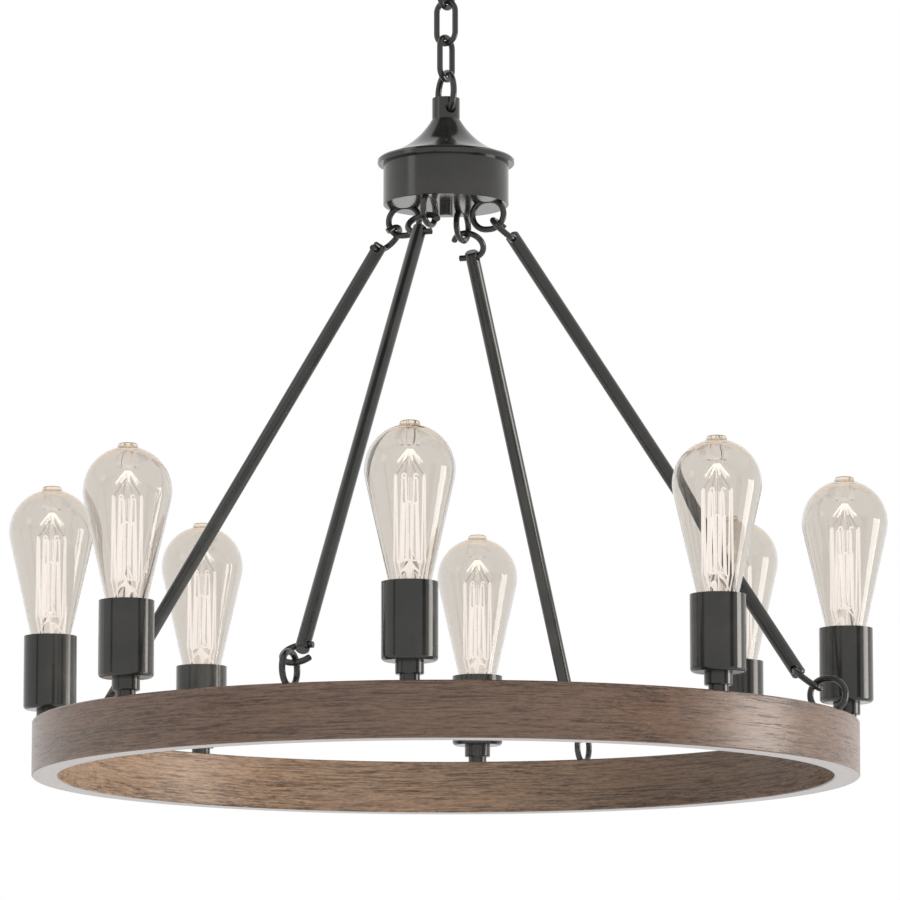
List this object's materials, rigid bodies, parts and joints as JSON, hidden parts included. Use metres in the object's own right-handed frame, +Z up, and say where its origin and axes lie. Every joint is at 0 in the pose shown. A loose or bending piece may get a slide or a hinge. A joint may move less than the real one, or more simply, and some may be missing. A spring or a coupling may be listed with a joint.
{
  "type": "wagon wheel chandelier",
  "caption": "Round wooden wheel rim with upright lampholders and bare filament bulbs, hung on hooked metal rods from a drum hub, a short chain and a ceiling canopy.",
  "frame": {"origin": "middle of the ceiling crossbar's top face, on the ceiling plane", "axes": "+Z up into the ceiling, +X along the crossbar and towards rod 1, +Y towards rod 2"},
  "size_m": [0.6298, 0.6298, 0.69],
  "materials": {
    "aged_metal": "matt charcoal paint with brushed pale streaks",
    "wood": "grey-brown weathered, open grain",
    "glass": "clear, faint amber",
    "brass": "plain",
    "porcelain": "white glaze",
    "zinc_steel": "zinc plated",
    "ground_screw": "green"
  },
  "bodies": {
    "ceiling_fitting": {"crossbar": "zinc_steel", "ground_screw": "ground_screw", "ceiling_nipple": "zinc_steel", "nipple_locknut": "zinc_steel", "ceiling_loop": "aged_metal"},
    "canopy": {"canopy": "aged_metal", "canopy_ring": "aged_metal"},
    "chain_link_1": {"chain_link_1": "aged_metal"},
    "chain_link_2": {"chain_link_2": "aged_metal"},
    "chain_link_3": {"chain_link_3": "aged_metal"},
    "chain_link_4": {"chain_link_4": "aged_metal"},
    "top_ring": {"top_ring": "aged_metal"},
    "hub": {"hub_cap": "aged_metal", "hub_drum": "aged_metal", "hub_base_plate": "aged_metal", "hub_tie_rod": "zinc_steel", "hub_nuts": "zinc_steel", "hub_finial": "aged_metal", "hub_loops": "aged_metal"},
    "rod_1": {"rod_1": "aged_metal", "upper_hook_1": "aged_metal", "lower_hook_1": "aged_metal"},
    "rod_2": {"rod_2": "aged_metal", "upper_hook_2": "aged_metal", "lower_hook_2": "aged_metal"},
    "rod_3": {"rod_3": "aged_metal", "upper_hook_3": "aged_metal", "lower_hook_3": "aged_metal"},
    "rod_4": {"rod_4": "aged_metal", "upper_hook_4": "aged_metal", "lower_hook_4": "aged_metal"},
    "wheel": {"wheel_rim": "wood", "channel_cover": "wood", "rim_loops": "aged_metal", "socket_stems": "aged_metal", "stem_nuts": "zinc_steel", "socket_collars": "aged_metal", "socket_cups": "aged_metal", "lampholders": "porcelain", "screw_shells": "brass", "centre_contacts": "brass"},
    "bulb_1": {"bulb_glass_1": "glass", "bulb_base_1": "brass"},
    "bulb_2": {"bulb_glass_2": "glass", "bulb_base_2": "brass"},
    "bulb_3": {"bulb_glass_3": "glass", "bulb_base_3": "brass"},
    "bulb_4": {"bulb_glass_4": "glass", "bulb_base_4": "brass"},
    "bulb_5": {"bulb_glass_5": "glass", "bulb_base_5": "brass"},
    "bulb_6": {"bulb_glass_6": "glass", "bulb_base_6": "brass"},
    "bulb_7": {"bulb_glass_7": "glass", "bulb_base_7": "brass"},
    "bulb_8": {"bulb_glass_8": "glass", "bulb_base_8": "brass"}
  },
  "joints": [
    {"name": "canopy_slide", "type": "slide", "parent": "ceiling_fitting", "child": "canopy", "axis": [0, 0, -1], "range_m": [0, 0.055]},
    {"name": "link_1_swing", "type": "hinge", "parent": "ceiling_fitting", "child": "chain_link_1", "pos_m": [0, 0, -0.0527], "axis": [0.2079, 0.9781, 0], "range_deg": [-8, 8]},
    {"name": "link_2_swing", "type": "hinge", "parent": "chain_link_1", "child": "chain_link_2", "pos_m": [0, 0, -0.0801], "axis": [0.9781, -0.2079, 0], "range_deg": [-8, 8]},
    {"name": "link_3_swing", "type": "hinge", "parent": "chain_link_2", "child": "chain_link_3", "pos_m": [0, 0, -0.1078], "axis": [0.2079, 0.9781, 0], "range_deg": [-20, 20]},
    {"name": "link_4_swing", "type": "hinge", "parent": "chain_link_3", "child": "chain_link_4", "pos_m": [0, 0, -0.1355], "axis": [0.9781, -0.2079, 0], "range_deg": [-20, 20]},
    {"name": "top_ring_swing", "type": "hinge", "parent": "chain_link_4", "child": "top_ring", "pos_m": [0, 0, -0.1583], "axis": [-0.682, 0.7314, 0], "range_deg": [-20, 20]},
    {"name": "hub_swing", "type": "hinge", "parent": "top_ring", "child": "hub", "pos_m": [0, 0, -0.174], "axis": [0.7314, 0.682, 0], "range_deg": [-15, 15]},
    {"name": "wheel_twist", "type": "hinge", "parent": "hub", "child": "wheel", "pos_m": [0, 0, -0.65], "axis": [0, 0, 1], "range_deg": [-6, 6], "stiffness_Nm_per_rad": 0.75},
    {"name": "rod_1_swing", "type": "hinge", "parent": "hub", "child": "rod_1", "pos_m": [0.03875, 0, -0.27373], "axis": [0, 0, 1], "range_deg": [-7, 7]},
    {"name": "rod_2_swing", "type": "hinge", "parent": "hub", "child": "rod_2", "pos_m": [0, 0.03875, -0.27373], "axis": [0, 0, 1], "range_deg": [-7, 7]},
    {"name": "rod_3_swing", "type": "hinge", "parent": "hub", "child": "rod_3", "pos_m": [-0.03875, 0, -0.27373], "axis": [0, 0, 1], "range_deg": [-7, 7]},
    {"name": "rod_4_swing", "type": "hinge", "parent": "hub", "child": "rod_4", "pos_m": [0, -0.03875, -0.27373], "axis": [0, 0, 1], "range_deg": [-7, 7]},
    {"name": "bulb_1_out", "type": "slide", "parent": "wheel", "child": "bulb_1", "axis": [0, 0, 1], "range_m": [0, 0.028]},
    {"name": "bulb_2_out", "type": "slide", "parent": "wheel", "child": "bulb_2", "axis": [0, 0, 1], "range_m": [0, 0.028]},
    {"name": "bulb_3_out", "type": "slide", "parent": "wheel", "child": "bulb_3", "axis": [0, 0, 1], "range_m": [0, 0.028]},
    {"name": "bulb_4_out", "type": "slide", "parent": "wheel", "child": "bulb_4", "axis": [0, 0, 1], "range_m": [0, 0.028]},
    {"name": "bulb_5_out", "type": "slide", "parent": "wheel", "child": "bulb_5", "axis": [0, 0, 1], "range_m": [0, 0.028]},
    {"name": "bulb_6_out", "type": "slide", "parent": "wheel", "child": "bulb_6", "axis": [0, 0, 1], "range_m": [0, 0.028]},
    {"name": "bulb_7_out", "type": "slide", "parent": "wheel", "child": "bulb_7", "axis": [0, 0, 1], "range_m": [0, 0.028]},
    {"name": "bulb_8_out", "type": "slide", "parent": "wheel", "child": "bulb_8", "axis": [0, 0, 1], "range_m": [0, 0.028]}
  ],
  "couplings": [
    {"joint": "rod_1_swing", "follows": "wheel_twist", "ratio": 1.1547},
    {"joint": "rod_2_swing", "follows": "wheel_twist", "ratio": 1.1547},
    {"joint": "rod_3_swing", "follows": "wheel_twist", "ratio": 1.1547},
    {"joint": "rod_4_swing", "follows": "wheel_twist", "ratio": 1.1547}
  ]
}
